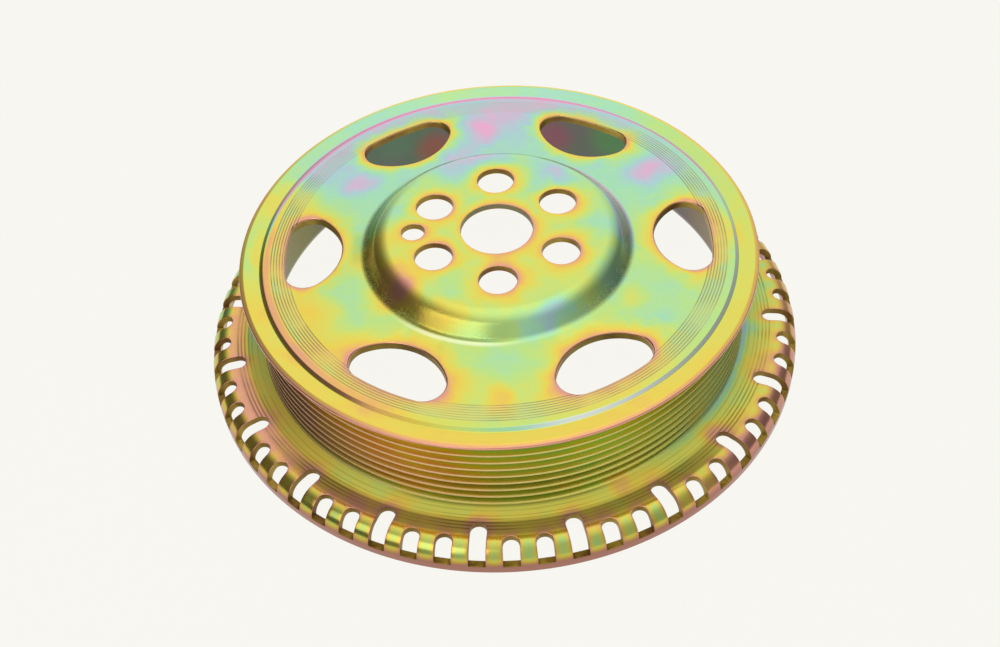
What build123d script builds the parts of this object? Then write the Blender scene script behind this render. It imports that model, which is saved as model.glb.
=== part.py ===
from build123d import *
import math
import os

# Crankshaft reluctor wheel: one disc of sheet steel, pressed, spun and pierced.
# Millimetres. +Z runs up the crank axis, away from the engine. The origin is the
# centre of the hub's rear seating face, so the hub's front stands one sheet above it.

# Sheet, and the inside radius of a press bend
sheet = 2.5
press_bend_r = 3.4

# Hub: a raised plateau that bolts to the crank nose
crank_bore_r = 12.5
bolt_circle_r = 25.0
bolt_hole_r = 6.5
bolt_count = 6
bolt_first_deg = 30.0
locating_hole_r = 4.0
locating_offset = 4.0
locating_deg = 180.0
hub_r = 41.0
hub_rise = 6.8
shoulder_run = 5.7

# Web: the flat ring with the six windows, and the metal left inside and outside them
window_count = 6
window_inner_margin = 7.8
window_outer_margin = 8.25
window_inner_arc_r = 20.2
window_corner_r = 7.1

# Belt drum: eight V grooves for an automotive ribbed belt
drum_r = 86.8
groove_count = 8
groove_pitch = 3.56
groove_depth = 2.95
groove_angle = 40.0
groove_root_flat = 0.71
groove_root_wall = 1.35
drum_head_chamfer = 1.0
drum_foot_bend_r = 5.5

# Head of the drum: a low step down from the web, then a dished lip that keeps the belt on
step_run = 1.3
step_drop = 0.8
lip_overhang = 3.2
lip_rise = 1.15
lip_land = 1.65
lip_land_drop = 0.35
lip_rim_thickness = 1.1
lip_rim_chamfer = 0.35
lip_neck_chamfer = 1.5
neck_height = 4.0

# Brim and skirt: the ring that the sensor reads
brim_drop = 0.15
brim_width = 19.9
skirt_height = 9.6
skirt_bend_r = 7.0

# Slots: even positions round the brim, one long then two short, and an index gap
slot_positions = 60
slot_group = 3
slot_width = 5.5
slot_first_deg = 12.5
slot_foot_height = 3.15
long_slot_reach = 12.4
short_slot_reach = 7.4
gap_positions = (13, 14)

# Cutters run this far past the faces that they pierce
overcut = 5.0

# Heights and radii that follow from the sizes above
web_z = sheet - hub_rise
shoulder_foot_r = hub_r + shoulder_run
shoulder_angle = math.atan2(hub_rise, shoulder_run)
flank_slope = math.tan(math.radians(groove_angle / 2))
groove_half_mouth = groove_root_flat / 2 + groove_depth * flank_slope
groove_root_r = drum_r - groove_depth
drum_inside_r = groove_root_r - groove_root_wall
lip_rim_r = drum_r + lip_overhang
lip_crest_z = web_z - step_drop + lip_rise
lip_underside_z = lip_crest_z - lip_land_drop - lip_rim_thickness
first_groove_z = lip_underside_z - neck_height - groove_half_mouth
last_groove_z = first_groove_z - (groove_count - 1) * groove_pitch
brim_z = last_groove_z - groove_half_mouth - brim_drop
skirt_outer_r = drum_r + brim_width
skirt_foot_z = brim_z - skirt_height


def hub_and_web():
    """Front face from the crank bore out to the foot of the step."""
    return [
        ((crank_bore_r, 0), 0),
        ((crank_bore_r, sheet), 0),
        ((hub_r, sheet), press_bend_r + sheet),
        ((shoulder_foot_r, web_z), press_bend_r),
        ((drum_inside_r - step_run / 2, web_z), 0),
        ((drum_inside_r + step_run / 2, web_z - step_drop), 0),
    ]


def lip_and_neck():
    """The dished lip, its rim with both edges eased, and the neck above the grooves."""
    land_z = lip_crest_z - lip_land_drop
    return [
        ((lip_rim_r - lip_land, lip_crest_z), 0),
        ((lip_rim_r - lip_rim_chamfer, land_z), 0),
        ((lip_rim_r, land_z - lip_rim_chamfer), 0),
        ((lip_rim_r, lip_underside_z + lip_rim_chamfer), 0),
        ((lip_rim_r - lip_rim_chamfer, lip_underside_z), 0),
        ((drum_r + lip_neck_chamfer, lip_underside_z), 0),
        ((drum_r, lip_underside_z - lip_neck_chamfer), 0),
    ]


def grooves():
    """V grooves from the top down; the last one's lower flank runs out on to the brim."""
    corners = []
    for index in range(groove_count):
        middle = first_groove_z - index * groove_pitch
        corners += [
            ((drum_r, middle + groove_half_mouth), 0),
            ((groove_root_r, middle + groove_root_flat / 2), 0),
            ((groove_root_r, middle - groove_root_flat / 2), 0),
            ((drum_r, middle - groove_half_mouth), 0),
        ]
    brim_inner_r = drum_r + brim_drop / flank_slope
    corners[-1] = ((brim_inner_r, brim_z), 0)
    return corners


def brim_and_skirt():
    """Over the brim, down the skirt, round its foot and back up the inside."""
    return [
        ((skirt_outer_r, brim_z), skirt_bend_r),
        ((skirt_outer_r, skirt_foot_z), 0),
        ((skirt_outer_r - sheet, skirt_foot_z), 0),
        ((skirt_outer_r - sheet, brim_z - sheet), skirt_bend_r - sheet),
        ((drum_inside_r, brim_z - sheet), drum_foot_bend_r),
    ]


def underside():
    """Under the web and the hub: the shoulder's two corners move one sheet along."""
    shift = sheet * math.tan(shoulder_angle / 2)
    web_rear_z = web_z - sheet
    return [
        ((drum_inside_r, web_rear_z - drum_head_chamfer), 0),
        ((drum_inside_r - drum_head_chamfer, web_rear_z), 0),
        ((shoulder_foot_r - shift, web_rear_z), press_bend_r + sheet),
        ((hub_r - shift, 0), press_bend_r),
    ]


def spun_blank():
    """The whole wheel before piercing: one half section turned about the crank axis."""
    corners = hub_and_web() + lip_and_neck() + grooves() + brim_and_skirt() + underside()
    points = [point for point, bend in corners]
    bends = [bend for point, bend in corners]
    with BuildPart() as blank:
        with BuildSketch(Plane.XZ):
            with BuildLine():
                FilletPolyline(*points, radius=bends, close=True)
            make_face()
        revolve(axis=Axis.Z)
    return blank.part


def hub_hole(radius, circle_r, angle):
    height = sheet + 2 * overcut
    hole = Cylinder(radius, height, align=(Align.CENTER, Align.CENTER, Align.MIN))
    return Rot(0, 0, angle) * Pos(circle_r, 0, -overcut) * hole


def window_cutter():
    """Two crossing circles make a lens, and its two points are rounded off."""
    outer_r = drum_inside_r - window_outer_margin
    inner_r = shoulder_foot_r + window_inner_margin
    lens = Circle(outer_r) & Pos(inner_r + window_inner_arc_r, 0) * Circle(window_inner_arc_r)
    widest_corner = 0.42 * (outer_r - inner_r)
    outline = fillet(lens.vertices(), min(window_corner_r, widest_corner))
    depth = sheet + 2 * overcut
    return Pos(0, 0, web_z - sheet - overcut) * extrude(outline, depth)


def slot_cutter(reach):
    """Round at the inner end, square at the foot, and open past the skirt."""
    end_r = skirt_outer_r - reach + slot_width / 2
    length = skirt_outer_r + overcut - end_r
    run = Pos(end_r + length / 2, 0) * Rectangle(length, slot_width)
    outline = run + Pos(end_r, 0) * Circle(slot_width / 2)
    foot_z = skirt_foot_z + slot_foot_height
    return Pos(0, 0, foot_z) * extrude(outline, brim_z + overcut - foot_z)


def hub_holes():
    bolt_step = 360 / bolt_count
    holes = [
        hub_hole(bolt_hole_r, bolt_circle_r, bolt_first_deg + index * bolt_step)
        for index in range(bolt_count)
    ]
    holes.append(hub_hole(locating_hole_r, bolt_circle_r + locating_offset, locating_deg))
    return holes


def windows():
    cutter = window_cutter()
    return [Rot(0, 0, index * 360 / window_count) * cutter for index in range(window_count)]


def slots():
    long_cutter = slot_cutter(long_slot_reach)
    short_cutter = slot_cutter(short_slot_reach)
    cutters = []
    for position in range(slot_positions):
        if position in gap_positions:
            continue
        cutter = long_cutter if position % slot_group == 0 else short_cutter
        angle = slot_first_deg + position * 360 / slot_positions
        cutters.append(Rot(0, 0, angle) * cutter)
    return cutters


os.makedirs("parts", exist_ok=True)
wheel = spun_blank() - (hub_holes() + windows() + slots())
wheel.label = "reluctor_wheel"
export_step(wheel, "parts/reluctor_wheel.step")

box = wheel.bounding_box()
print("reluctor_wheel", "valid", wheel.is_valid, "solids", len(wheel.solids()))
print("size mm", round(box.size.X, 3), round(box.size.Y, 3), round(box.size.Z, 3))
print("brim top z", round(brim_z, 3), "skirt foot z", round(skirt_foot_z, 3))
print("drum inside radius", round(drum_inside_r, 3), "skirt radius", round(skirt_outer_r, 3))
print("volume mm3", round(wheel.volume, 1))
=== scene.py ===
# %% [markdown]
# # A crankshaft reluctor wheel
# The wheel is one disc of sheet steel: a hub that bolts to the crank, a web with six
# windows, a drum with V grooves for a ribbed belt, and a brim and skirt full of slots
# that a sensor counts. It is plated with zinc and then dipped, which leaves a thin film
# that shows gold, green and pink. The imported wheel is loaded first, and everything
# here is made in the same frame, in metres, with +Z along the crank axis.

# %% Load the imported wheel
import math

import bmesh
import bpy
from mathutils import Matrix, Vector


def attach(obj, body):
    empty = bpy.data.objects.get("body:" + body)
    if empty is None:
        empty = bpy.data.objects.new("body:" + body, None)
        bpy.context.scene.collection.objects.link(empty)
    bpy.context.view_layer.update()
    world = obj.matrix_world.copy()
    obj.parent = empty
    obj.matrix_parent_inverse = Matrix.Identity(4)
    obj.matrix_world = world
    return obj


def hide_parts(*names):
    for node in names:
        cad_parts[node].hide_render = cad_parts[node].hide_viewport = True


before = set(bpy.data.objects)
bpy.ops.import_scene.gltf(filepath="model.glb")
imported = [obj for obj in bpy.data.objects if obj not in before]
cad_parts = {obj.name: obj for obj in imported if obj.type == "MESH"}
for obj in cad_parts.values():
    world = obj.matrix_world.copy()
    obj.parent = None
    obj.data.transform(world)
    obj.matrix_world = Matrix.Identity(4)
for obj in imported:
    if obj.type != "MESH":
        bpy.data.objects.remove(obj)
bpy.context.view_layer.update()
MM = 0.001

# %% [markdown]
# ## The sizes of the wheel
# A pressed wheel is drawn as half of its cross-section. Each line below gives corners of
# that section as radius, height and bend radius, in millimetres, from the crank bore out
# over the hub and web, down the belt drum, round the skirt and back under the web.
# Writing corners and bends apart keeps the list short: the bends are rounded later by an
# operator, so no arc has to be worked out by hand.

# %% Sizes of the sheet, the hub and the web
SHEET = 2.5
EDGE = 0.25
BORE_R = 12.5
HUB_R = 41.0
WEB_Z = -4.3
SHOULDER_FOOT_R = 46.7
DRUM_INSIDE_R = 82.5
TOP_BEND = 8.0
FOOT_BEND = 3.4
STEP_RUN = 1.3
STEP_DROP = 0.8

# Rings of extra points, so that the web can sink smoothly round the windows
WEB_RINGS = [50.5 + 1.5 * index for index in range(20)]

hub_and_web = [
    (BORE_R, 0, EDGE),
    (BORE_R, SHEET, EDGE),
    (HUB_R, SHEET, TOP_BEND),
    (SHOULDER_FOOT_R, WEB_Z, FOOT_BEND),
    *[(radius, WEB_Z, 0) for radius in WEB_RINGS],
    (DRUM_INSIDE_R - STEP_RUN / 2, WEB_Z, 0.5),
    (DRUM_INSIDE_R + STEP_RUN / 2, WEB_Z - STEP_DROP, 0.5),
]
print("hub and web:", len(hub_and_web), "corners")

# %% Sizes of the lip and the belt drum
DRUM_R = 86.8
LIP_R = 90.0
LIP_CREST_Z = -3.95
LIP_UNDER_Z = -5.4
GROOVES = 8
GROOVE_PITCH = 3.56
GROOVE_ROOT_R = 83.85
ROOT_HALF = 0.355
MOUTH_HALF = 1.4287
FIRST_GROOVE_Z = -10.8287

lip = [
    (LIP_R - 1.65, LIP_CREST_Z, 0.7),
    (LIP_R, LIP_CREST_Z - 0.4, 0.45),
    (LIP_R, LIP_UNDER_Z, 0.45),
    (DRUM_R, LIP_UNDER_Z, 2.5),
]

drum = []
for index in range(GROOVES):
    middle = FIRST_GROOVE_Z - index * GROOVE_PITCH
    drum += [
        (DRUM_R, middle + MOUTH_HALF, 0.22),
        (GROOVE_ROOT_R, middle + ROOT_HALF, 0.25),
        (GROOVE_ROOT_R, middle - ROOT_HALF, 0.25),
        (DRUM_R, middle - MOUTH_HALF, 0.22),
    ]
print("grooves run from", round(drum[0][1], 2), "to", round(drum[-1][1], 2), "mm")

# %% Sizes of the brim and the skirt
BRIM_Z = -37.327
SKIRT_R = 106.7
SKIRT_FOOT_Z = -46.927
SKIRT_BEND = 7.0

drum[-1] = (87.21, BRIM_Z, 0.4)
brim_and_skirt = [
    (SKIRT_R, BRIM_Z, SKIRT_BEND),
    (SKIRT_R, SKIRT_FOOT_Z, 0.35),
    (SKIRT_R - SHEET, SKIRT_FOOT_Z, 0.35),
    (SKIRT_R - SHEET, BRIM_Z - SHEET, SKIRT_BEND - SHEET),
    (DRUM_INSIDE_R, BRIM_Z - SHEET, 5.5),
]

shoulder_slope = math.atan2(SHEET - WEB_Z, SHOULDER_FOOT_R - HUB_R)
shift = SHEET * math.tan(shoulder_slope / 2)
underside = [
    (DRUM_INSIDE_R, WEB_Z - SHEET, 1.6),
    *[(radius, WEB_Z - SHEET, 0) for radius in reversed(WEB_RINGS)],
    (SHOULDER_FOOT_R - shift, WEB_Z - SHEET, FOOT_BEND + SHEET),
    (HUB_R - shift, 0, TOP_BEND - SHEET),
]

section = hub_and_web + lip + drum + brim_and_skirt + underside
print("half section:", len(section), "corners")

# %% [markdown]
# ## Rounding the bends of the section
# A press can't fold steel sharply, so every bend is an arc. The corners become one flat
# face standing on the X axis, and a vertex bevel rounds each: its offset, from the corner
# to where the arc starts, is the bend radius times the tangent of half the turn. A bevel
# leaves the directions of its two edges alone, so the next corner can be bevelled too.

# %% Draw the half section and round it
ARC_STEP_DEG = 11
SMALL_BEND = 1
SMALL_BEND_STEPS = 3


def turn_at(vert):
    """How far the outline turns at a corner, in radians."""
    first, second = [edge.other_vert(vert).co - vert.co for edge in vert.link_edges]
    return math.pi - first.angle(second)


def round_corner(bm, vert, bend):
    turn = turn_at(vert)
    steps = SMALL_BEND_STEPS
    if bend > SMALL_BEND:
        steps = max(2, round(math.degrees(turn) / ARC_STEP_DEG))
    bmesh.ops.bevel(bm, geom=[vert], affect='VERTICES', offset_type='OFFSET',
                    offset=bend * MM * math.tan(turn / 2), segments=steps,
                    profile=0.5, material=-1, clamp_overlap=False)


def draw_section(corners):
    bm = bmesh.new()
    verts = [bm.verts.new((r * MM, 0, z * MM)) for r, z, bend in corners]
    bm.faces.new(verts)
    for vert, (r, z, bend) in zip(verts, corners):
        if bend:
            round_corner(bm, vert, bend)
    return bm


wheel_bm = draw_section(section)
print("rounded section:", len(wheel_bm.verts), "points")

# %% [markdown]
# ## Spinning the wheel
# The real wheel is spun too: rollers press the turning disc into shape. Here the outline
# is turned about the Z axis in 240 steps. The face inside the outline is removed first,
# because only its edges should sweep a surface. The first step is placed so that no line
# of the mesh lies almost along a slot's side, where a cut would leave slivers.

# %% Spin the section into the wheel
STEPS = 240
FIRST_STEP_DEG = 1.25
SEAM_GAP = 1e-7

bmesh.ops.delete(wheel_bm, geom=wheel_bm.faces[:], context='FACES_ONLY')
bmesh.ops.rotate(wheel_bm, verts=wheel_bm.verts[:], cent=(0, 0, 0),
                 matrix=Matrix.Rotation(math.radians(FIRST_STEP_DEG), 3, 'Z'))
bmesh.ops.spin(wheel_bm, geom=wheel_bm.verts[:] + wheel_bm.edges[:], cent=(0, 0, 0),
               axis=(0, 0, 1), angle=math.tau, steps=STEPS, use_merge=True)
bmesh.ops.remove_doubles(wheel_bm, verts=wheel_bm.verts[:], dist=SEAM_GAP)
bmesh.ops.recalc_face_normals(wheel_bm, faces=wheel_bm.faces[:])
print("spun wheel:", len(wheel_bm.faces), "faces, volume cm3",
      round(wheel_bm.calc_volume() * 1e6, 2))


def as_object(bm, name):
    mesh = bpy.data.meshes.new(name)
    bm.to_mesh(mesh)
    bm.free()
    made = bpy.data.objects.new(name, mesh)
    bpy.context.scene.collection.objects.link(made)
    return made


wheel = as_object(wheel_bm, "plated_wheel")

# %% [markdown]
# ## The punches
# Holes, windows and slots are punched through the sheet. Each punch is an outline that
# is pushed up into a solid bar. A window's outline is four arcs that flow into each
# other, and a vertex spun about an arc's centre draws each one. The bars are then cut
# out of the wheel together, in one Boolean, because none of them touch.

# %% Helpers for punch outlines
WELD_GAP = 0.01


def sweep_point(bm, vert, centre, degrees, steps):
    """Draws an arc by spinning one vertex about a centre, and returns its end."""
    made = bmesh.ops.spin(bm, geom=[vert], cent=(centre[0], centre[1], 0), axis=(0, 0, 1),
                          angle=math.radians(degrees), steps=steps)
    return [item for item in made['geom_last'] if isinstance(item, bmesh.types.BMVert)][0]


def push_up(bm, start, stages):
    """Pushes a flat outline up from a start height, in stages of growth and height."""
    bmesh.ops.remove_doubles(bm, verts=bm.verts[:], dist=WELD_GAP)
    if not bm.faces:
        bmesh.ops.edgeloop_fill(bm, edges=bm.edges[:])
    bmesh.ops.recalc_face_normals(bm, faces=bm.faces[:])
    end = bm.faces[:]
    if end[0].normal.z < 0:
        bmesh.ops.reverse_faces(bm, faces=end)
    bmesh.ops.translate(bm, verts=bm.verts[:], vec=(0, 0, start))
    for growth, height in stages:
        rise = height - end[0].verts[0].co.z
        bmesh.ops.inset_individual(bm, faces=end, thickness=-growth, depth=rise,
                                   use_even_offset=True)
    bmesh.ops.edgeloop_fill(bm, edges=[edge for edge in bm.edges if edge.is_boundary])
    bmesh.ops.scale(bm, verts=bm.verts[:], vec=(MM, MM, MM))
    bmesh.ops.recalc_face_normals(bm, faces=bm.faces[:])
    mesh = bpy.data.meshes.new("punch")
    bm.to_mesh(mesh)
    bm.free()
    return mesh


# %% [markdown]
# ## Eased rims
# Plating and tumbling round the rims of a hole a little. The bars of the holes and windows
# carry that rounding: each flares out in three short slopes where it crosses a face of the
# sheet. The flare stops just clear of the face, because a Boolean finds two surfaces in
# one plane hard.

# %% The stages of a bar that eases both rims
CLEARANCE = 0.01
LEAD_IN = 0.5
FLARE_TURNS = [math.radians(turn) for turn in (30, 60, 90)]


def eased(low, low_ease, high, high_ease, end):
    """Stages of a bar that rounds both rims of a sheet; an ease is its width and height."""
    width, height = low_ease
    stages, grown = [(width, low - LEAD_IN), (0, low + CLEARANCE)], width
    for turn in FLARE_TURNS:
        growth = width * (1 - math.sin(turn))
        stages.append((growth - grown, low + height * (1 - math.cos(turn))))
        grown = growth
    width, height = high_ease
    stages.append((0, high - height))
    grown = 0
    for turn in FLARE_TURNS:
        growth = width * (1 - math.cos(turn))
        stages.append((growth - grown, high - height * (1 - math.sin(turn))))
        grown = growth
    stages[-1] = (stages[-1][0], high - CLEARANCE)
    return stages + [(0, end)]


print("stages of a hole's bar:", len(eased(0, (EDGE, EDGE), SHEET, (EDGE, EDGE), 6)))

# %% Round punches
BOLT_CIRCLE_R = 25.0
BOLT_R = 6.5
LOCATING_R = 4.0
LOCATING_CIRCLE_R = 29.0
HOLE_PUNCH_START, HOLE_PUNCH_END = -3, 6


def round_punch(radius, circle_r):
    bm = bmesh.new()
    bmesh.ops.create_circle(bm, cap_ends=True, segments=64, radius=radius)
    bmesh.ops.translate(bm, verts=bm.verts[:], vec=(circle_r, 0, 0))
    stages = eased(0, (EDGE, EDGE), SHEET, (EDGE, EDGE), HOLE_PUNCH_END)
    return push_up(bm, HOLE_PUNCH_START, stages)


# %% The window punch
WINDOW_OUTER_R = 74.25
WINDOW_INNER_R = 54.5
WINDOW_ARC_R = 20.2
WINDOW_CORNER_R = 7.1
WINDOW_PUNCH_START, WINDOW_PUNCH_END = -12, 0
WINDOW_LOW_EASE, WINDOW_HIGH_EASE = (0.2, 0.2), (0.6, 0.45)

NEAR_X = WINDOW_INNER_R + WINDOW_ARC_R
TO_AXIS = WINDOW_OUTER_R - WINDOW_CORNER_R
CORNER_X = (TO_AXIS ** 2 - (WINDOW_ARC_R - WINDOW_CORNER_R) ** 2 + NEAR_X ** 2) / (2 * NEAR_X)
CORNER_Y = math.sqrt(TO_AXIS ** 2 - CORNER_X ** 2)


def window_punch():
    outer_half = math.degrees(math.atan2(CORNER_Y, CORNER_X))
    inner_start = math.degrees(math.atan2(CORNER_Y, CORNER_X - NEAR_X))
    start = math.radians(-outer_half)
    bm = bmesh.new()
    vert = bm.verts.new((WINDOW_OUTER_R * math.cos(start), WINDOW_OUTER_R * math.sin(start), 0))
    vert = sweep_point(bm, vert, (0, 0), 2 * outer_half, 24)
    vert = sweep_point(bm, vert, (CORNER_X, CORNER_Y), inner_start - outer_half, 20)
    vert = sweep_point(bm, vert, (NEAR_X, 0), 2 * (180 - inner_start), 40)
    sweep_point(bm, vert, (CORNER_X, -CORNER_Y), inner_start - outer_half, 20)
    stages = eased(WEB_Z - SHEET, WINDOW_LOW_EASE, WEB_Z, WINDOW_HIGH_EASE, WINDOW_PUNCH_END)
    return push_up(bm, WINDOW_PUNCH_START, stages)


print("centre of a window's corner, mm:", round(CORNER_X, 2), round(CORNER_Y, 2))

# %% The slot punches
SLOT_HALF = 2.75
SLOT_FOOT_Z = SKIRT_FOOT_Z + 3.15
LONG_SLOT_R = 94.3
SHORT_SLOT_R = 99.3
SLOT_OVERCUT = 4


def slot_punch(inner_r):
    bm = bmesh.new()
    end_r = inner_r + SLOT_HALF
    start = bm.verts.new((end_r, SLOT_HALF, 0))
    end = sweep_point(bm, start, (end_r, 0), 180, 14)
    outer = [bm.verts.new((SKIRT_R + SLOT_OVERCUT, side, 0)) for side in (-SLOT_HALF, SLOT_HALF)]
    bm.edges.new((end, outer[0]))
    bm.edges.new((outer[0], outer[1]))
    bm.edges.new((outer[1], start))
    return push_up(bm, SLOT_FOOT_Z, [(0, BRIM_Z + SLOT_OVERCUT)])


print("slot width, mm:", 2 * SLOT_HALF)

# %% [markdown]
# ## Setting out the punches
# Bolt holes stand every 60 degrees, and the windows lie between them. The skirt has 60
# even places. Every third slot is long and reaches further in over the brim, and two
# places are left blank, which tells the engine computer where a turn starts.

# %% Gather every punch in one mesh
HOLE_COUNT = 6
HOLE_STEP_DEG = 360 / HOLE_COUNT
FIRST_BOLT_DEG = 30
LOCATING_DEG = 180
SLOT_PLACES = 60
SLOT_STEP_DEG = 360 / SLOT_PLACES
LONG_EVERY = 3
FIRST_SLOT_DEG = 12.5
BLANK_PLACES = (13, 14)

punches = bmesh.new()


def stamp(mesh, angle):
    before = len(punches.verts)
    punches.from_mesh(mesh)
    punches.verts.ensure_lookup_table()
    bmesh.ops.rotate(punches, verts=punches.verts[before:], cent=(0, 0, 0),
                     matrix=Matrix.Rotation(math.radians(angle), 3, 'Z'))


for index in range(HOLE_COUNT):
    stamp(round_punch(BOLT_R, BOLT_CIRCLE_R), FIRST_BOLT_DEG + HOLE_STEP_DEG * index)
    stamp(window_punch(), HOLE_STEP_DEG * index)
stamp(round_punch(LOCATING_R, LOCATING_CIRCLE_R), LOCATING_DEG)

long_punch = slot_punch(LONG_SLOT_R)
short_punch = slot_punch(SHORT_SLOT_R)
for place in range(SLOT_PLACES):
    if place not in BLANK_PLACES:
        punch = long_punch if place % LONG_EVERY == 0 else short_punch
        stamp(punch, FIRST_SLOT_DEG + SLOT_STEP_DEG * place)
print("slots:", SLOT_PLACES - len(BLANK_PLACES))

# %% [markdown]
# ## Marking the walls
# The walls that a punch leaves are rougher than the sheet, and get a material of their
# own. The faces of the punches carry its number, 1, and the Boolean hands it on.

# %% Number the faces of the punches
UPRIGHT = 0.2


def stands(face):
    """Whether a face stands upright, like the wall of a hole."""
    return abs(face.normal.z) < UPRIGHT


punches.normal_update()
for face in punches.faces:
    on_slot = face.calc_center_median().xy.length > LIP_R * MM
    face.material_index = 1 if stands(face) or on_slot else 0
print("punches:", len(punches.faces), "faces")
punch_set = as_object(punches, "punches")

# %% [markdown]
# ## Cutting
# The exact solver is slower than the fast one, but copes with surfaces that run close
# together. Both objects need two material places, or the numbers would be lost.

# %% Cut the wheel
def applied(piece):
    """The piece's mesh with its modifiers carried out."""
    depsgraph = bpy.context.evaluated_depsgraph_get()
    depsgraph.update()
    return bpy.data.meshes.new_from_object(piece.evaluated_get(depsgraph))


cut = wheel.modifiers.new("punching", 'BOOLEAN')
cut.operation = 'DIFFERENCE'
cut.solver = 'EXACT'
cut.object = punch_set
bare = bpy.data.materials.new("bare")
for piece in (wheel, punch_set):
    piece.data.materials.append(bare)
    piece.data.materials.append(bare)
cut_mesh = applied(wheel)
wheel.modifiers.clear()
bpy.data.objects.remove(punch_set)
print("cut wheel:", len(cut_mesh.polygons), "faces")

# %% [markdown]
# ## Cleaning the cut
# A Boolean leaves points very close together where two cuts nearly meet. They are merged,
# which moves some rim points a little off their flat, so each goes back to its exact
# height. Then the flats are joined into large faces, and points that only divide a
# straight edge go, because a bevel needs clean edges.

# %% Merge, flatten and join
FLATS = (0, SHEET, WEB_Z, WEB_Z - SHEET)
LEVEL_NORMAL = 0.99999
HUB_LEVEL_R = (0, 45)
BRIM_LEVEL_R = (86, 110)
STRAIGHT_TURN = 0.05

bm = bmesh.new()
bm.from_mesh(cut_mesh)
bmesh.ops.remove_doubles(bm, verts=bm.verts[:], dist=2 * CLEARANCE * MM)
for vert in bm.verts:
    for flat in FLATS:
        if abs(vert.co.z / MM - flat) < 2 * CLEARANCE:
            vert.co.z = flat * MM
bmesh.ops.dissolve_degenerate(bm, dist=0.2 * CLEARANCE * MM, edges=bm.edges[:])
bm.normal_update()


def radius_of(vert):
    return math.hypot(vert.co.x, vert.co.y) / MM


def is_level(edge, low_r, high_r):
    """Whether an edge lies inside a flat between two radii, with one number both sides."""
    faces = edge.link_faces
    return (len(faces) == 2 and all(abs(face.normal.z) > LEVEL_NORMAL for face in faces)
            and faces[0].material_index == faces[1].material_index
            and all(low_r < radius_of(vert) < high_r for vert in edge.verts))


level = [edge for edge in bm.edges
         if is_level(edge, *HUB_LEVEL_R) or is_level(edge, *BRIM_LEVEL_R)]
bmesh.ops.dissolve_limit(bm, angle_limit=math.radians(0.5), verts=[], edges=level,
                         use_dissolve_boundaries=False)
spare = [vert for vert in bm.verts
         if len(vert.link_edges) == 2 and turn_at(vert) < STRAIGHT_TURN]
bmesh.ops.dissolve_verts(bm, verts=spare)
print("cleaned wheel:", len(bm.faces), "faces, without", len(spare), "spare points")

# %% [markdown]
# ## Easing the rims of the slots
# The slots cross the bend of the skirt, where a flared bar can't follow, so a small bevel
# rounds their rims, which are the edges between number 0 and number 1. It gives each slot
# its thin bright line.

# %% Bevel the slot rims
rims = [edge for edge in bm.edges
        if len(edge.link_faces) == 2 and radius_of(edge.verts[0]) > LIP_R
        and edge.link_faces[0].material_index != edge.link_faces[1].material_index]
print("slot rim edges:", len(rims))
bmesh.ops.bevel(bm, geom=rims, affect='EDGES', offset_type='OFFSET', offset=EDGE * MM,
                segments=2, profile=0.5, material=-1, loop_slide=False, clamp_overlap=False)
bm.normal_update()
for face in bm.faces:
    if all(radius_of(vert) < BORE_R + 0.01 for vert in face.verts) and stands(face):
        face.material_index = 1
print("bevelled wheel:", len(bm.faces), "faces, volume cm3", round(bm.calc_volume() * 1e6, 2))

# %% [markdown]
# ## The dents that the window punch leaves
# A punch drags the sheet down round the hole that it cuts. On the real wheel the upper
# rim of each window lies about 0.4 mm low, and the lower rim up to 1 mm. Each vertex near
# a window sinks by an amount that fades with its distance from the outline.

# %% Sink the web round the windows
DENT_DEPTH, DENT_REACH = 0.42, 5
DRAG_DEPTH, DRAG_REACH = 0.6, 1.5
DENT_INNER_R, DENT_OUTER_R = 49, 81.5
DENT_RUN_OUT = 2


def from_window(x, y):
    """Distance in millimetres outwards from the nearest window's outline."""
    radius, angle = math.hypot(x, y), math.atan2(y, x)
    angle = math.remainder(angle, math.radians(HOLE_STEP_DEG))
    x, y = radius * math.cos(angle), abs(radius * math.sin(angle))
    if y * CORNER_X < CORNER_Y * x:
        return radius - WINDOW_OUTER_R
    if math.atan2(y, x - NEAR_X) > math.atan2(CORNER_Y, CORNER_X - NEAR_X):
        return math.hypot(x - NEAR_X, y) - WINDOW_ARC_R
    return math.hypot(x - CORNER_X, y - CORNER_Y) - WINDOW_CORNER_R


sunk = 0
for vert in bm.verts:
    radius, depth = radius_of(vert), (WEB_Z - vert.co.z / MM) / SHEET
    if DENT_INNER_R < radius < DENT_OUTER_R and -0.01 < depth < 1.01:
        distance = max(from_window(vert.co.x / MM, vert.co.y / MM), 0)
        drop = (DENT_DEPTH * math.exp(-distance / DENT_REACH)
                + DRAG_DEPTH * depth * math.exp(-distance / DRAG_REACH))
        run_out = min(radius - DENT_INNER_R, DENT_OUTER_R - radius) / DENT_RUN_OUT
        vert.co.z -= drop * MM * min(run_out, 1)
        sunk += 1
print("vertices that sank:", sunk)

# %% [markdown]
# ## Smooth shading
# Weighted normals let the large flat faces win over the narrow bevels beside them, so the
# flats look flat and each eased rim keeps its small highlight. The modifier is applied, so
# that the mesh carries the result.

# %% Shade the wheel smooth
for face in bm.faces:
    face.smooth = True
bm.to_mesh(wheel.data)
bm.free()

even = wheel.modifiers.new("even shading", 'WEIGHTED_NORMAL')
even.mode = 'FACE_AREA'
even.keep_sharp = True
wheel.data = applied(wheel)
wheel.modifiers.clear()
print("finished wheel:", len(wheel.data.vertices), "vertices")

# %% [markdown]
# ## Helpers for the finish
# A material is a small program of nodes. These helpers add a node, join it up and return
# its output, so that a formula reads from top to bottom. They all work on the node tree
# that is called tree at the time. A number given as an input stays a number, and an
# output given as an input becomes a link.

# %% Node helpers
def new_material(name):
    material = bpy.data.materials.new(name)
    material.use_nodes = True
    tree = material.node_tree
    return material, tree, tree.nodes["Principled BSDF"]


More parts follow.
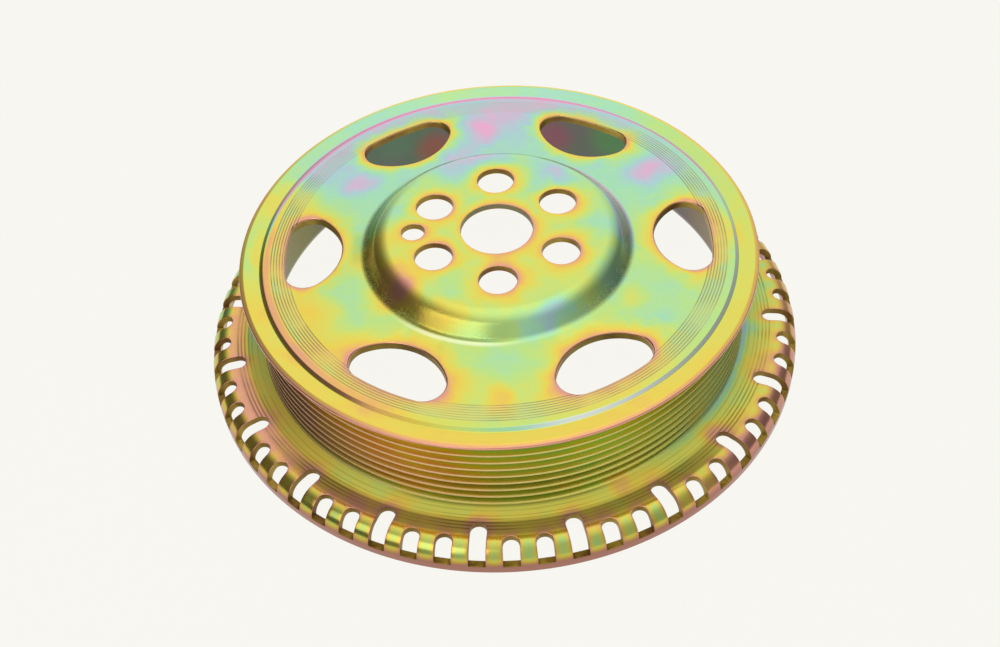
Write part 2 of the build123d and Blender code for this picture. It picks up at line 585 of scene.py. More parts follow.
def plug(value, socket):
    if isinstance(value, bpy.types.NodeSocket):
        tree.links.new(value, socket)
    else:
        socket.default_value = value


def add_node(kind, operation, values):
    node = tree.nodes.new(kind)
    node.operation = operation
    for socket, value in zip(node.inputs, values):
        plug(value, socket)
    return node


def calc(operation, *values, clamp=False):
    node = add_node("ShaderNodeMath", operation, values)
    node.use_clamp = clamp
    return node.outputs[0]


def minus(first, second):
    return calc('SUBTRACT', first, second)


def vector_calc(operation, *values):
    node = add_node("ShaderNodeVectorMath", operation, values)
    return node.outputs["Value" if operation == 'DISTANCE' else "Vector"]


def noise(vector, scale, detail=2.0, roughness=0.5, output="Fac"):
    node = tree.nodes.new("ShaderNodeTexNoise")
    plug(vector, node.inputs["Vector"])
    node.inputs["Scale"].default_value = scale
    node.inputs["Detail"].default_value = detail
    node.inputs["Roughness"].default_value = roughness
    return node.outputs[output]


# %% [markdown]
# ## Helpers for soft regions
# Nearly every mark on the plating has a soft border. A soft step goes smoothly from one
# value to another between two places, and two of them multiplied make a band.

# %% Helpers for soft steps
def fade(value, start, end, low=0.0, high=1.0):
    """A soft step: low before start, high after end."""
    node = tree.nodes.new("ShaderNodeMapRange")
    node.interpolation_type = 'SMOOTHSTEP'
    for name, given in (("Value", value), ("From Min", start), ("From Max", end),
                        ("To Min", low), ("To Max", high)):
        plug(given, node.inputs[name])
    return node.outputs["Result"]


def fall(value, start, end):
    """A soft step down: 1 before start, 0 after end."""
    return fade(value, start, end, 1.0, 0.0)


def product(first, *others):
    """The values multiplied together, from left to right."""
    for value in others:
        first = calc('MULTIPLY', first, value)
    return first


def band(value, rise, drop):
    """1 between two soft steps, each given by where it starts and ends."""
    return product(fade(value, *rise), fall(value, *drop))


def away_from(value, middle):
    return calc('ABSOLUTE', minus(value, middle))


def changed(value, where, share):
    """The value, grown by a share of itself where the region is 1."""
    return product(value, calc('MULTIPLY_ADD', where, share, 1.0))


def towards(value, target, where):
    """The value, moved all the way to a target where the region is 1."""
    return calc('ADD', value, product(where, minus(target, value)))


# %% Helpers for colours
def srgb(red, green, blue):
    """A colour as read off a screen, 0 to 255, in the linear values that Blender uses."""
    def linear(value):
        value /= 255
        return value / 12.92 if value <= 0.04045 else ((value + 0.055) / 1.055) ** 2.4
    return linear(red), linear(green), linear(blue)


def rgba(red, green, blue):
    """The same colour with a full alpha, as a colour socket wants it."""
    return (*srgb(red, green, blue), 1)


def grey(value):
    """A colour with one value in all three channels."""
    node = tree.nodes.new("ShaderNodeCombineColor")
    for socket in node.inputs[:3]:
        tree.links.new(value, socket)
    return node.outputs[0]


def ramp(value, stops):
    node = tree.nodes.new("ShaderNodeValToRGB")
    plug(value, node.inputs["Fac"])
    elements = node.color_ramp.elements
    while len(elements) < len(stops):
        elements.new(0.5)
    for element, (place, colour) in zip(elements, stops):
        element.position = place
        element.color = (*colour, 1)
    return node.outputs["Color"]


def mix(factor, first, second, blend='MIX'):
    node = tree.nodes.new("ShaderNodeMix")
    node.data_type = 'RGBA'
    node.blend_type = blend
    for name, value in (("Factor_Float", factor), ("A_Color", first), ("B_Color", second)):
        plug(value, [socket for socket in node.inputs if socket.identifier == name][0])
    return [socket for socket in node.outputs if socket.identifier == "Result_Color"][0]


print("mid grey, linear:", round(srgb(128, 128, 128)[0], 3))

# %% [markdown]
# ## Where a point is on the wheel
# The film on the plating is thinner round every hole, so the finish has to know how far
# each point is from the nearest punched edge. The nodes work it out from the wheel's own
# coordinates. The angle is folded, so that one formula serves all the holes on a circle.

# %% Places on the wheel
def place_on_wheel():
    """Object coordinates in millimetres, and the radius and angle about the crank axis."""
    coords = tree.nodes.new("ShaderNodeTexCoord").outputs["Object"]
    split = tree.nodes.new("ShaderNodeSeparateXYZ")
    tree.links.new(coords, split.inputs[0])
    x, y, z = [calc('MULTIPLY', split.outputs[axis], 1 / MM) for axis in range(3)]
    return coords, x, y, z, length_of(x, y), calc('ARCTAN2', y, x)


def folded(radius, angle, first_deg, step_deg):
    """The point as if the nearest hole of a ring lay on the X axis."""
    half = math.radians(step_deg / 2)
    turned = minus(angle, math.radians(first_deg))
    turned = calc('WRAP', turned, half, -half)
    return product(radius, calc('COSINE', turned)), product(radius, calc('SINE', turned))


def length_of(*parts):
    total = product(parts[0], parts[0])
    for part in parts[1:]:
        total = calc('ADD', total, product(part, part))
    return calc('SQRT', total)


# %% Distances from holes, windows and slots
def from_round_holes(radius, angle, circle_r, hole_r, first_deg, step_deg):
    x, y = folded(radius, angle, first_deg, step_deg)
    along = minus(x, circle_r)
    return minus(length_of(along, y), hole_r)


def from_windows(radius, angle):
    x, y = folded(radius, angle, 0, HOLE_STEP_DEG)
    past_outer = calc('MAXIMUM', minus(radius, TO_AXIS), 0.0)
    near = length_of(minus(x, NEAR_X), y)
    past_inner = minus(near, WINDOW_ARC_R - WINDOW_CORNER_R)
    past_inner = calc('MAXIMUM', past_inner, 0.0)
    return minus(length_of(past_outer, past_inner), WINDOW_CORNER_R)


def from_slots(radius, angle, z, inner_r, step_deg):
    end_r = inner_r + SLOT_HALF
    x, y = folded(radius, angle, FIRST_SLOT_DEG, step_deg)
    inward = calc('MAXIMUM', minus(end_r, x), 0.0)
    below = calc('MAXIMUM', minus(SLOT_FOOT_Z, z), 0.0)
    return minus(length_of(inward, y, below), SLOT_HALF)


# %% [markdown]
# ## The yellow passivate
# Zinc plate is dipped to protect it, and the film it takes on is about as thick as a
# wave of light. The thickness sets the colour: pink at the thinnest, then orange, yellow,
# lime, mint, pale blue and lilac, and then pink and rose, where the colours start again.
# So the finish is one number, the film's thickness from 0 to 1, sent through a colour
# ramp.

# %% The colours of the film
film_colours = [
    (0.00, srgb(228, 160, 142)),
    (0.10, srgb(238, 186, 110)),
    (0.24, srgb(238, 212, 88)),
    (0.40, srgb(218, 224, 106)),
    (0.54, srgb(190, 228, 138)),
    (0.68, srgb(168, 224, 184)),
    (0.79, srgb(174, 208, 212)),
    (0.88, srgb(206, 190, 212)),
    (0.95, srgb(238, 172, 206)),
    (1.00, srgb(230, 158, 166)),
]
plated, tree, shader = new_material("zinc_plate_with_yellow_film")
coords, x, y, z, radius, angle = place_on_wheel()
aside_x = calc('ABSOLUTE', x)
print("film colours:", len(film_colours))

# %% [markdown]
# ## The regions of the wheel
# The hub, shoulder, lip, drum, brim and skirt drain and reflect in different ways. A
# region is a number that is 1 inside and 0 outside. Radius and height are enough to tell
# them apart, because the wheel was spun.

# %% Regions
LIP_TO_DRUM_Z = (-8, -6)
INSIDE_TO_DRUM_R = (83.0, 83.4)

on_top = fade(z, *LIP_TO_DRUM_Z)
below = fall(z, *LIP_TO_DRUM_Z)
on_hub = fall(radius, 38, 50)
on_slope = band(radius, (41, 43), (46, 47.5))
on_lip = product(fade(radius, 82, 84), on_top)
on_drum = product(band(radius, INSIDE_TO_DRUM_R, (86.9, 87.3)), below)
on_brim = product(below, fade(radius, 87.0, 87.4))
on_skirt = product(below, fade(radius, 99, 102.5))
at_brim_height = fall(z, -36.5, -35.5)
print("nodes that find the regions:", len(tree.nodes))

# %% [markdown]
# ## Where the film is thick
# The wheel drains as it is lifted out of the dip, so the film is thicker on one side, and
# it gathers in soft patches. Each patch below is a place on the wheel, a reach and an
# amount.

# %% Patches of thicker and thinner film
# azimuth in degrees, radius, height, reach in millimetres, change of thickness
web_patches = [
    (-150, 55, -4, 14, 0.10), (-138, 68, -4, 11, -0.20), (-154, 70, -4, 14, -0.12),
    (-104, 67, -4, 11, -0.22), (-90, 55, -4, 13, 0.10), (-90, 72, -4, 9, -0.20),
    (-75, 68, -4, 8, -0.20), (-61, 51, -4, 13, -0.26), (-42, 63, -4, 15, 0.14),
    (-29, 60, -4, 14, 0.06), (15, 64, -4, 14, 0.04), (31, 62, -4, 11, 0.20),
    (30, 72, -4, 10, 0.14), (53, 50, -4, 12, 0.06), (95, 61, -4, 10, 0.16),
    (90, 68, -4, 14, 0.09), (105, 50, -4, 11, 0.14), (145, 60, -4, 11, 0.22),
    (166, 66, -4, 11, -0.16), (180, 77, -4, 16, -0.34), (-160, 77, -4, 16, -0.20),
    (160, 77, -4, 14, -0.28), (0, 77, -4, 12, -0.26), (-60, 77, -4, 12, -0.14),
    (-120, 77, -4, 12, -0.18), (70, 87, -4, 46, 0.12), (125, 87, -4, 46, 0.12),
    (150, 87, -4, 25, 0.10), (-142, 77, -4, 12, -0.26), (-150, 66, -4, 14, -0.16),
    (-32, 53, -4, 8, -0.16), (180, 87, -4, 16, 0.22), (-90, 71, -4, 7, -0.10),
]
hub_patches = [
    (47, 30, 2, 13, 0.22), (112, 36, 2, 15, 0.24), (-128, 31, 2, 12, 0.14),
    (-88, 17, 2, 11, -0.28), (162, 34, 2, 10, 0.14), (0, 36, 2, 11, 0.14),
    (62, 36, 2, 12, 0.14), (92, 39, 2, 12, 0.16), (-90, 37, 2, 10, 0.10),
    (-150, 44, -1, 15, -0.40), (-172, 44, -1, 12, -0.30), (-118, 44, -1, 11, -0.28),
    (-135, 43, -1, 11, -0.34), (-62, 44, -1, 12, 0.36), (-76, 44, -1, 9, 0.22),
    (-30, 44, -1, 12, 0.12),
]
ring_patches = [
    (-150, 86, -22, 60, -0.40), (-112, 86, -22, 34, -0.24), (-92, 85, -22, 30, -0.06),
    (-30, 86, -22, 24, 0.04), (-96, 98, -37, 8, -0.22), (-74, 98, -37, 8, -0.22),
    (-120, 98, -37, 8, -0.20), (-66, 91, -37, 9, -0.24), (-40, 97, -37, 10, -0.26),
    (-18, 97, -37, 12, -0.24), (-22, 93, -37, 8, -0.16), (-11, 92, -37, 7, 0.16),
    (-42, 91, -37, 8, -0.14),
]
print("patches:", len(web_patches + hub_patches + ring_patches))

# %% [markdown]
# ## Ragged edges for the patches
# A dip dries in ragged, flowing shapes. So each point is shifted by a slow noise before
# its distance to a patch is measured, and a round patch takes a ragged edge.

# %% Add the patches to the thickness
MIDDLE_FILM = 0.62
FILM_SLOPE = 0.0019
FLOW_SCALE = 55.0
FLOW_REACH = 0.016
PATCH_CORE = 0.15


def spot(azimuth, radius, height):
    azimuth = math.radians(azimuth)
    return (radius * math.cos(azimuth) * MM, radius * math.sin(azimuth) * MM, height * MM)


flow = noise(coords, FLOW_SCALE, output="Color")
shifted = vector_calc('MULTIPLY_ADD', flow, (FLOW_REACH,) * 3,
                      vector_calc('SUBTRACT', coords, (FLOW_REACH / 2,) * 3))


def gather(total, patches):
    for azimuth, patch_r, height, reach, amount in patches:
        away = vector_calc('DISTANCE', shifted, spot(azimuth, patch_r, height))
        share = fade(away, PATCH_CORE * reach * MM, reach * MM, amount, 0.0)
        total = calc('ADD', total, share)
    return total


thickness = calc('MULTIPLY_ADD', y, FILM_SLOPE, MIDDLE_FILM)
thickness = gather(thickness, web_patches + hub_patches)
thickness = calc('ADD', thickness, product(below, gather(0.0, ring_patches)))
print("film at the back of the lip:", round(MIDDLE_FILM + LIP_R * FILM_SLOPE, 2))

# %% [markdown]
# ## The film on each region
# The flanks of the grooves hold more of the dip, and the foot of the skirt, where the last
# drops run off, holds less. Each line is a region and the change that it makes.

# %% Change the thickness by region
brim_foot = product(fall(radius, 87.8, 89.6), at_brim_height, fade(x, 30, 92))
brim_inner = product(fall(radius, 91.5, 94.5), at_brim_height, fall(x, -35, 10))
at_foot = product(on_skirt, fall(z, -44.0, -40.0))
on_flank = product(below, band(radius, INSIDE_TO_DRUM_R, (85.0, 86.5)),
                   fade(aside_x, 20, 50, 1.0, 0.3))
region_films = [
    (on_hub, -0.08),
    (on_lip, -0.20),
    (below, -0.08),
    (on_skirt, fade(x, 45, 80, 0.20, -0.42)),
    (at_foot, -0.56),
    (brim_foot, 0.26),
    (brim_inner, 0.20),
    (on_flank, 0.16),
]
for where, amount in region_films:
    thickness = calc('MULTIPLY_ADD', where, amount, thickness)
print("regions with a film of their own:", len(region_films))

# %% [markdown]
# ## Thin film beside every cut edge
# The dip drains off a cut edge quickest. The distance to the nearest hole, window, slot
# or lip edge is worked out, and the film grows from almost nothing at the edge to its
# full thickness a few millimetres away. That draws the pink, orange and yellow rings.

# %% The nearest edge
HUB_SHIFT = 0.5
LIP_GAIN = 5.0
WINDOW_END_Z = -9

tab_gain = fade(radius, 98, 101, 1.2, 3.0)
hub_x = minus(x, HUB_SHIFT)
hub_radius, hub_angle = length_of(hub_x, y), calc('ARCTAN2', y, hub_x)
lip_edge = calc('MAXIMUM', minus(LIP_R - 0.1, radius), minus(LIP_UNDER_Z, z))
edge_distances = [
    calc('MULTIPLY', calc('MAXIMUM', lip_edge, 0.0), LIP_GAIN),
    from_round_holes(hub_radius, hub_angle, BOLT_CIRCLE_R, BOLT_R, FIRST_BOLT_DEG, HOLE_STEP_DEG),
    from_round_holes(hub_radius, hub_angle, LOCATING_CIRCLE_R, LOCATING_R, LOCATING_DEG, 360),
    calc('MAXIMUM', from_windows(radius, angle), minus(WINDOW_END_Z, z)),
    product(from_slots(radius, angle, z, LONG_SLOT_R, LONG_EVERY * SLOT_STEP_DEG), tab_gain),
    product(from_slots(radius, angle, z, SHORT_SLOT_R, SLOT_STEP_DEG), tab_gain),
]
nearest = minus(hub_radius, BORE_R)
for distance in edge_distances:
    nearest = calc('MINIMUM', nearest, distance)
nearest = calc('MAXIMUM', nearest, 0.0)
print("kinds of edge that thin the film:", 1 + len(edge_distances))

# %% [markdown]
# ## Growing the film from the edge
# The film thickens quickly at first, then ever slower, which is what the exponential
# gives. A noise makes the rings wider in some places, and another ripples the thickness.

# %% Film thickness
HEAD_START, HEAD_START_SLOPE = 0.18, 0.0022
GROW_LENGTH, GROW_LENGTH_SLOPE = 2.6, -0.011
RIPPLE = 0.16

uneven = noise(coords, 110.0)
head_start = calc('MULTIPLY_ADD', y, HEAD_START_SLOPE, HEAD_START)
grow_length = calc('MULTIPLY_ADD', y, GROW_LENGTH_SLOPE, GROW_LENGTH)
grow_length = product(grow_length, fade(uneven, 0.3, 0.7, 0.6, 1.6))
lengths = calc('DIVIDE', calc('ADD', nearest, head_start), grow_length)
still_thin = calc('EXPONENT', calc('MULTIPLY', lengths, -1.0))
grown = minus(1.0, still_thin)
ripple = calc('MULTIPLY_ADD', noise(coords, 150.0, detail=3.0), RIPPLE, -RIPPLE / 2)
film = calc('MULTIPLY', calc('ADD', thickness, ripple), grown, clamp=True)
print("film grown 5 mm from an edge:", round(1 - math.exp(-(5 + HEAD_START) / GROW_LENGTH), 2))

# %% [markdown]
# ## The step, the lip's rim and the brim's left side
# On the low step inside the lip the film breaks off from its surroundings: rosy on the
# near left, bluish on the right, pink at the back. Beside it and on the lip's rim it is
# thin. Each of these lines fades in and out round the wheel.

# %% Film on the step, the rim and the brim
step_middle = fade(x, -80, -50, DRUM_INSIDE_R - 0.5, DRUM_INSIDE_R - 0.1)
from_step = product(away_from(radius, step_middle), fade(x, 15, 65, 1.0, 1.5))
step_start = fade(y, 0, 50, 0.35, 0.9)
step_end = fade(y, 0, 50, 0.95, 1.7)
on_step = product(fall(from_step, step_start, step_end), on_top)
step_film = calc('MAXIMUM', fade(x, -50, 15, 0.06, 0.72), fade(y, -20, 30, 0.0, 0.97))

on_rim = product(on_lip, fade(radius, 88.4, 88.9))
beside_step = product(band(radius, (78.3, 80.3), (81.6, 82.4)),
                      fall(x, -62, -5), fall(y, 0, 45))
brim_left = product(below, fall(x, -92, -60), fade(radius, 92.5, 95.5),
                    fade(radius, 99, 101, 1.0, 0.35))
thinned = [(on_rim, -0.5), (beside_step, -0.85), (brim_left, -0.75)]
for where, share in thinned:
    film = changed(film, where, share)
film = towards(film, step_film, on_step)
print("regions where the film is thinned:", len(thinned))

# %% [markdown]
# ## The pink arc of the shoulder
# On the right of the shoulder the film is thickest, and an arc of it turns from lilac to
# pink. The arc moves the film towards that end of the colour ramp.

# %% The pink arc, and the film's colour
pink_arc = product(band(radius, (40.5, 42.8), (46.6, 48)),
                   fade(x, 16, 32, 0.0, 0.85), fade(y, -14, 2))
film = towards(film, fade(y, 0, 25, 0.90, 0.99), pink_arc)
film_colour = ramp(film, film_colours)
print("nodes that make the film's colour:", len(tree.nodes))

# %% [markdown]
# ## Marks of the rollers
# The forming rollers leave fine rings on the web just inside the step, and on the brim.
# They are far too shallow to model, so they are drawn as thin dark lines with a little
# bump, and a slow noise lets them come and go.

# %% Rings of the rollers
WEB_RING_R = 73.17
WEB_RING_GAP = 0.99
BRIM_RINGS = ((89.6, 0.4), (91.6, 0.5), (92.8, 0.8), (94.2, 1.0), (95.45, 1.0), (96.65, 1.0))

from_ring = calc('WRAP', minus(radius, WEB_RING_R), WEB_RING_GAP / 2, -WEB_RING_GAP / 2)
web_rings = product(fall(calc('ABSOLUTE', from_ring), 0.08, 0.26),
                    band(radius, (72.5, 72.8), (79.5, 79.8)),
                    fade(z, -7, -6), fade(y, 45, 62, 1.0, 0.2))
brim_rings = 0.0
for ring_r, strength in BRIM_RINGS:
    line = fade(away_from(radius, ring_r), 0.10, 0.42, strength, 0.0)
    brim_rings = calc('ADD', brim_rings, line)
brim_rings = product(brim_rings, fall(z, -36, -34))
patchy = fade(noise(coords, 60.0), 0.35, 0.6, 0.35, 1.0)
rings = product(calc('ADD', web_rings, brim_rings), patchy)
print("rings on the brim:", len(BRIM_RINGS))

# %% [markdown]
# ## Painted shade on the drum, brim and skirt
# The roots of the grooves, the drum's sides, the brim's corner by the drum, the outer and
# left parts of the brim and the bend and foot of the skirt see little light. That shade is
# painted: the colour there is made darker than the film alone would be.

# %% Regions of shade on the drum, the brim and the skirt
# Painted shade: each mask below marks where the film's colour is darkened in the list of shades.
groove_shade = product(on_drum, fall(radius, 86.6, 86.75), fade(aside_x, 12, 48, 1.0, 0.4))
drum_side_shade = product(on_drum, fade(aside_x, 22, 80))
brim_corner_shadow = product(fall(radius, 87.3, 88.9), fall(aside_x, 25, 42), on_brim)
brim_left_shade = product(on_brim, fall(radius, 92, 95), fall(x, -85, -45))
skirt_foot_shade = product(on_skirt, fall(z, -43.5, -40.5))
bend_start = calc('ADD', fade(x, -82, -60, 96.5, 98), fade(x, 45, 75, 0.0, 3.0))
past_bend = minus(radius, bend_start)
brim_flat = product(on_brim, fall(past_bend, 0.0, 2.0))
brim_outer_shade = product(brim_flat, band(radius, (92.5, 94.5), (98.6, 99.8)), fall(y, -78, -52))
print("the skirt's bend starts at radius", SKIRT_R - SKIRT_BEND)

# %% [markdown]
# ## Painted shade on the shoulder and the step
# The shoulder's sides look out to the dark of the room, and that shade is painted into
# their colour, as it is on the step's left and on the golden part of the near left slope. At
# the near left its foot gets a painted dark crease, with a painted highlight line beside it.

# %% Regions of shade on the shoulder and the step
CREASE_R = 46.85
FOOT_HIGHLIGHT_R = 48.0

# Painted shade: these masks darken the shoulder's sides, the step's left, the golden slope and a
# crease.
shoulder_right_shade = product(on_slope, fade(x, 32, 42), fall(y, 8, 28))
shoulder_left_shade = product(on_slope, fall(x, -42, -30))
step_left_shade = product(on_step, fall(x, -70, -10))
from_low_side = vector_calc('DISTANCE', coords, spot(-110, 47, -4))
low_side = fall(from_low_side, 0.008, 0.026)
highlight_dimming_shade = product(on_slope, low_side)
crease_shade = product(fall(away_from(radius, CREASE_R), 0.1, 0.5), low_side)
foot_highlight = product(fade(away_from(radius, FOOT_HIGHLIGHT_R), 0.35, 1.1, 0.6, 0.0), low_side)
print("from the shoulder's foot to the crease, mm:", round(CREASE_R - SHOULDER_FOOT_R, 2))

# %% Darken the film's colour
RING_SHADE = -0.5
# Painted shade: each region darkens the film's colour by its share.
painted_shades = [
    (groove_shade, -0.28), (drum_side_shade, -0.60), (on_skirt, -0.22), (skirt_foot_shade, -0.38),
    (step_left_shade, -0.12), (brim_outer_shade, -0.60), (crease_shade, -0.32), (brim_corner_shadow, -0.55),
    (brim_left_shade, -0.38), (shoulder_left_shade, -0.34), (shoulder_right_shade, -0.36),
    (highlight_dimming_shade, -0.24),
]
# shade starts from the dark roller rings, which are marks, and then takes on every painted shade.
shade = calc('MULTIPLY_ADD', rings, RING_SHADE, 1.0)
for where, share in painted_shades:
    shade = changed(shade, where, share)
skin = mix(1.0, film_colour, grey(shade), 'MULTIPLY')
print("regions of shade:", len(painted_shades))

# %% [markdown]
# ## Painted highlights, and the rosy rings
# The crests between the grooves are painted paler than the flanks: a painted highlight,
# on which the painted shade is softened. The step at the right front gets an almost white
# painted highlight, and the near left foot of the shoulder a pale one. The ground between
# the roller rings is rosier. These colours are laid over the film with the regions as masks.

# %% Colour of the rings, the crests and the step
on_rings = product(fade(radius, 72.5, 73.5), fade(radius, 79, 80, 0.22, 0.0),
                   fade(z, -7, -6))
skin = mix(on_rings, skin, rgba(208, 184, 160))
# Painted highlight: the crests get a paler colour, and only part of the painted shade.
on_crest = product(fall(z, -9.7, -9.3), band(radius, (86.6, 86.75), (86.85, 87.0)))
crest_highlight = mix(fade(x, -25, 25), rgba(228, 184, 142), rgba(220, 210, 120))
crest_painted_shade = grey(calc('POWER', shade, 0.6))
skin = mix(on_crest, skin, mix(1.0, crest_highlight, crest_painted_shade, 'MULTIPLY'))
# Painted highlight: the step at the right front is turned almost white.
step_highlight = product(on_step, fade(x, 0, 25, 0.0, 0.8), fall(y, 0, 40))
skin = mix(step_highlight, skin, rgba(244, 242, 236))
# Painted highlight: a pale line along the foot of the shoulder at the near left.
skin = mix(foot_highlight, skin, rgba(250, 255, 212))
print("nodes of the skin so far:", len(tree.nodes))

# %% [markdown]
# ## Painted glints on the shoulder
# The pressed shoulder is rough, and its high points catch the light: these glints are
# painted as pale specks. A very fine noise is cut off near its top, which leaves separate
# specks, and a slower one makes them uneven.

# %% Specks
SPECK_SCALE = 3600.0
SPECK_GATE_SCALE = 200.0
# Painted highlight: the specks are glints, painted in a pale colour.
glint_specks = product(fade(noise(coords, SPECK_SCALE, detail=1.0), 0.57, 0.64),
                 fade(aside_x, 22, 30),
                 fade(noise(coords, SPECK_GATE_SCALE), 0.2, 0.7),
                 fade(radius, 42.0, 46.5), fade(radius, 47.0, 48.4, 0.75, 0.0))
skin = mix(product(glint_specks, 0.85), skin, rgba(206, 196, 128))
print("specks are about", round(1 / SPECK_SCALE / MM, 2), "mm apart")

# %% [markdown]
# ## Inside the drum
# The inside is painted dark, as painted shade, because little light gets in there. Through
# the windows it shows slow changes from green-grey to brown, and a few stronger patches,
# each a place on the inner wall, a reach and a colour.

# %% The shaded inside
INSIDE_SHARE = 0.72
INSIDE_CORE = 0.2
inside_patches = [
    (108, -25, 11, (146, 84, 74)), (74, -23, 12, (142, 82, 100)), (57, -18, 14, (84, 134, 82)),
    (119, -19, 11, (92, 120, 98)), (158, -28, 26, (132, 124, 58)), (20, -24, 22, (128, 118, 88)),
]
inside = product(fall(radius, *INSIDE_TO_DRUM_R), fall(z, -7.6, -6.6))
# Painted shade: the inside colours are kept dark; their hues change slowly and in patches.
shaded_inside = ramp(noise(coords, 24.0), [
    (0.38, srgb(92, 112, 94)), (0.47, srgb(102, 104, 98)), (0.54, srgb(110, 100, 102)),
    (0.63, srgb(124, 92, 86)),
])
for azimuth, height, reach, colour in inside_patches:
    away = vector_calc('DISTANCE', coords, spot(azimuth, DRUM_INSIDE_R, height))
    share = fade(away, INSIDE_CORE * reach * MM, reach * MM, INSIDE_SHARE, 0.0)
    shaded_inside = mix(share, shaded_inside, rgba(*colour))
plug(mix(inside, skin, shaded_inside), shader.inputs["Base Color"])
print("patches inside the drum:", len(inside_patches))

# %% [markdown]
# ## Relief, and how polished the plate is
# A bump bends the light, not the surface, which is right for grain and rings a hundredth
# of a millimetre deep. The film is clear over bright metal, so the plate is nearly all
# metal. The flat of the brim, the crests and the specks are milky: less metal, and rougher.

# %% Bump and polish
FLAT_GRAIN = 0.01
SHOULDER_GRAIN = 0.24
RING_DEPTH = -0.3

grain = noise(coords, 1500.0, detail=3.0, roughness=0.6)
on_shoulder = band(radius, (38, 41), (46, 50))
relief = product(calc('MULTIPLY_ADD', on_shoulder, SHOULDER_GRAIN, FLAT_GRAIN), grain)
relief = calc('MULTIPLY_ADD', rings, RING_DEPTH, relief)
bump = tree.nodes.new("ShaderNodeBump")
bump.inputs["Strength"].default_value = 0.8
bump.inputs["Distance"].default_value = 0.0002
tree.links.new(relief, bump.inputs["Height"])
tree.links.new(bump.outputs["Normal"], shader.inputs["Normal"])

milky = calc('MAXIMUM', calc('MAXIMUM', brim_flat, on_crest), glint_specks)
shader.inputs["Specular IOR Level"].default_value = 0.15
plug(fade(milky, 0, 1, 0.95, 0.20), shader.inputs["Metallic"])
plug(fade(milky, 0, 1, 0.22, 0.45), shader.inputs["Roughness"])
print("nodes of the plating:", len(tree.nodes))

# %% [markdown]
# ## The punched walls
# A punch tears the last part of the sheet, so the walls are rougher and browner than the
# faces. The wall of the bore was turned smooth, and is greyer.

# %% Walls of the holes and slots
BORE_WALL = (13.0 * MM, 13.5 * MM)

walls, tree, shader = new_material("punched_wall")
coords = tree.nodes.new("ShaderNodeTexCoord").outputs["Object"]
wall_colour = ramp(noise(coords, 70.0, detail=4.0), [
    (0.35, srgb(118, 82, 36)), (0.5, srgb(146, 120, 44)), (0.65, srgb(172, 146, 62)),
])
split = tree.nodes.new("ShaderNodeSeparateXYZ")
tree.links.new(coords, split.inputs[0])
wall_radius = length_of(split.outputs[0], split.outputs[1])
in_bore = fade(wall_radius, *BORE_WALL, 0.75, 0.0)
wall_colour = mix(in_bore, wall_colour, rgba(124, 128, 102))
plug(wall_colour, shader.inputs["Base Color"])
shader.inputs["Metallic"].default_value = 0.7
shader.inputs["Roughness"].default_value = 0.45
print("nodes of the walls:", len(tree.nodes))

# %% [markdown]
# ## One piece
# The real wheel is one pressing, so the model is one piece with two materials. It rides on
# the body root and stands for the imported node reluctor_wheel.

wheel.data.materials[0] = plated
wheel.data.materials[1] = walls
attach(wheel, "root")
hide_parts("reluctor_wheel")
print("materials:", [material.name for material in wheel.data.materials])

# %% [markdown]
# ## The floor
# The wheel stands on its skirt on a plain pale floor, so wide that a low view shows no
# corner of it. The floor glows a little by itself, which keeps it evenly pale.

# %% Floor
FLOOR_HALF = 30.0

bm = bmesh.new()
bmesh.ops.create_grid(bm, x_segments=1, y_segments=1, size=FLOOR_HALF)
bmesh.ops.translate(bm, verts=bm.verts[:], vec=(0, 0, SKIRT_FOOT_Z * MM))
floor = as_object(bm, "floor")
floor_paint, tree, shader = new_material("pale_floor")
shader.inputs["Base Color"].default_value = (0.02, 0.02, 0.02, 1)
shader.inputs["Roughness"].default_value = 1.0
shader.inputs["Specular IOR Level"].default_value = 0.0
shader.inputs["Emission Color"].default_value = rgba(247, 246, 240)
shader.inputs["Emission Strength"].default_value = 0.985
floor.data.materials.append(floor_paint)
print("floor height, mm:", SKIRT_FOOT_Z)

# %% [markdown]
# ## Light
# A polished plate shows what is around it, so the lights are chosen by what each surface
# looks at. A large key panel at the front left draws the bright bands. A fill panel
# overhead lifts the dark places, and reflections don't show it.

# %% Soft panels
KEY_PLACE = (-0.52, -0.62, 0.62)
FILL_PLACE = (-0.05, -0.35, 0.80)


def soft_panel(name, place, width, height, watts):
    """A rectangle of light that faces the origin."""
    light = bpy.data.lights.new(name, 'AREA')
    light.shape = 'RECTANGLE'
    light.size, light.size_y = width, height
    light.energy = watts
    made = bpy.data.objects.new(name, light)
    made.location = place
    made.rotation_mode = 'QUATERNION'
    made.rotation_quaternion = (-Vector(place)).to_track_quat('-Z', 'Y')
    bpy.context.scene.collection.objects.link(made)
    return made


key = soft_panel("key_panel", KEY_PLACE, 0.8, 0.56, 1.85)
fill = soft_panel("fill_panel", FILL_PLACE, 0.5, 0.5, 2.4)
fill.visible_glossy = False
print("panels, watts:", round(key.data.energy, 2), "and", round(fill.data.energy, 2))

# %% [markdown]
# ## The studio round the wheel
# The rest of what the plate reflects is the room: a grey world graded by direction, dark
# at the left, dimmer at the right and in front, and a little brighter overhead. A smooth
# grading shows no edges in the metal, as walls would.

# %% The world
LEFT_DARK, RIGHT_DARK, FRONT_DARK = 0.91, 0.80, 0.34
OVERHEAD = 1.15

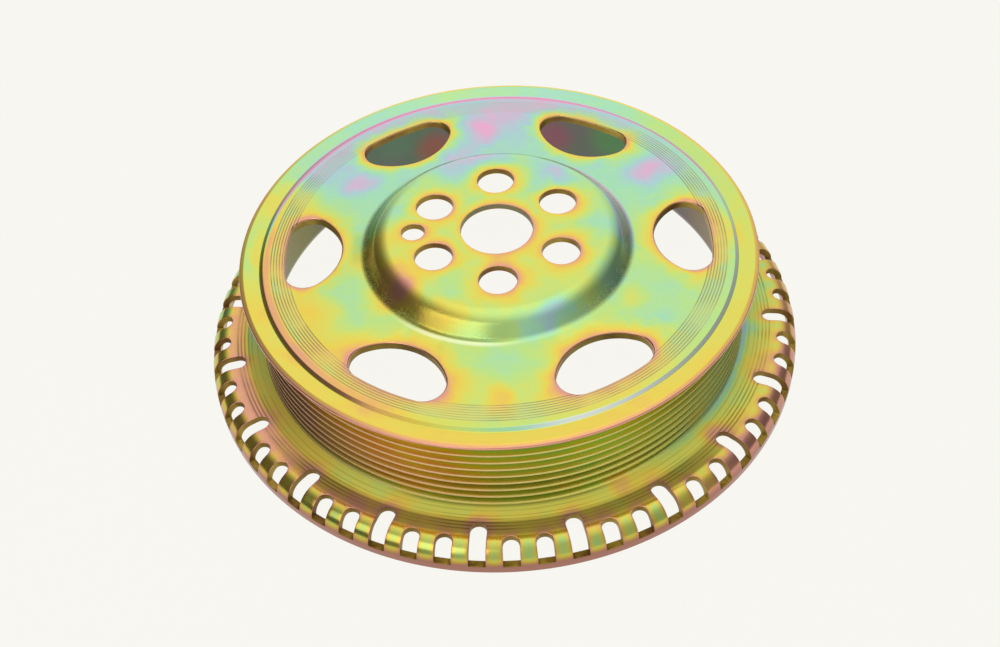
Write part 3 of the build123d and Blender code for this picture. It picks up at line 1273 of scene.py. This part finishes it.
world = bpy.data.worlds.new("studio")
bpy.context.scene.world = world
world.use_nodes = True
tree = world.node_tree
split = tree.nodes.new("ShaderNodeSeparateXYZ")
tree.links.new(tree.nodes.new("ShaderNodeTexCoord").outputs["Generated"], split.inputs[0])
across, along, height = split.outputs
left_wall = fade(across, -0.72, -0.15, LEFT_DARK, 0.0)
right_wall = product(fade(across, 0.25, 0.95, 0.0, RIGHT_DARK),
                     fade(along, -0.5, 0.0, 0.6, 1.0))
to_front = fade(along, -0.6, 0.1, FRONT_DARK, 0.0)
level = fade(height, 0.80, 0.92, 1.0, OVERHEAD)
for dark in (left_wall, right_wall, to_front):
    level = product(level, minus(1.0, dark))
tree.links.new(grey(level), tree.nodes["Background"].inputs["Color"])
bpy.context.scene.view_settings.view_transform = 'Standard'
print("nodes of the world:", len(tree.nodes))

# %% [markdown]
# ## Camera
# The photograph's camera was found from the wheel's own circles: it stands 0.45 m away,
# 47 degrees above the horizon, and is rolled by a few degrees. Its place is written as
# where the wheel's axis falls in the picture.

# %% Camera
FOCAL_PIXELS = 1294.56
PICTURE_WIDTH, PICTURE_HEIGHT = 1000, 647
ELEVATION = math.radians(47.066)
ROLL = math.radians(-3.847)
TURN = math.radians(1.75)
DISTANCE = 0.4502387
AXIS_X, AXIS_Y = 497.39, 240.38
AIM_Z = -3.35
SENSOR_WIDTH = 36

forward = Vector((0, math.cos(ELEVATION), -math.sin(ELEVATION)))
side = Vector((1, 0, 0))
up = side.cross(forward)
right = math.cos(ROLL) * side + math.sin(ROLL) * up
top = math.cos(ROLL) * up - math.sin(ROLL) * side
shift_x = (AXIS_X - PICTURE_WIDTH / 2) / FOCAL_PIXELS * DISTANCE
shift_y = -(AXIS_Y - PICTURE_HEIGHT / 2) / FOCAL_PIXELS * DISTANCE
place = -(shift_x * right + shift_y * top + DISTANCE * forward)

turned = Matrix.Rotation(TURN, 4, 'Z')
pose = Matrix((right, top, -forward)).transposed().to_4x4()
pose.translation = place
camera_data = bpy.data.cameras.new("camera")
camera = bpy.data.objects.new("camera", camera_data)
camera_data.sensor_width = SENSOR_WIDTH
camera_data.lens = FOCAL_PIXELS * SENSOR_WIDTH / PICTURE_WIDTH
camera_data.clip_start = 0.01
camera.matrix_world = Matrix.Translation((0, 0, AIM_Z * MM)) @ turned @ pose
bpy.context.scene.collection.objects.link(camera)
bpy.context.scene.camera = camera
print("camera at", [round(v, 4) for v in camera.matrix_world.translation])
